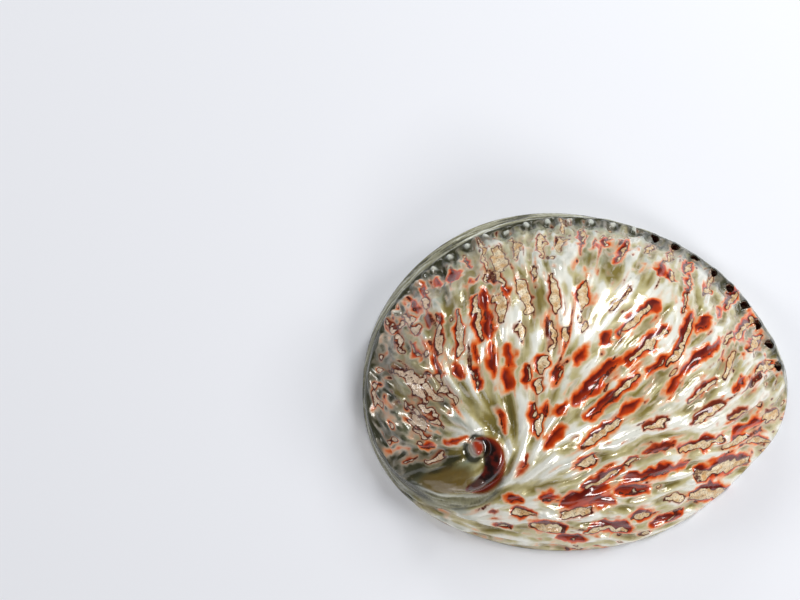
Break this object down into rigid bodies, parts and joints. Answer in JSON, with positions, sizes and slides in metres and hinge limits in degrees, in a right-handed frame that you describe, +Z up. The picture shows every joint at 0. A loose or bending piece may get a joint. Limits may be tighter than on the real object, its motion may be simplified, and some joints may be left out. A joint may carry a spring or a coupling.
{
  "type": "abalone shell",
  "caption": "Polished ear-shaped abalone shell lying rim down: low dome, small side coil, row of pores along one side and an open nacre hollow underneath.",
  "frame": {"origin": "on the resting plane, under the middle of the shell's plan outline", "axes": "+X towards the growing end, +Y towards the side with the row of pores, +Z up through the dome"},
  "size_m": [0.1495, 0.1243, 0.0423],
  "materials": {
    "nacre": "polished nacre with patches of rough tan crust edged in red"
  },
  "bodies": {
    "root": {"abalone_shell": "nacre"}
  },
  "joints": []
}
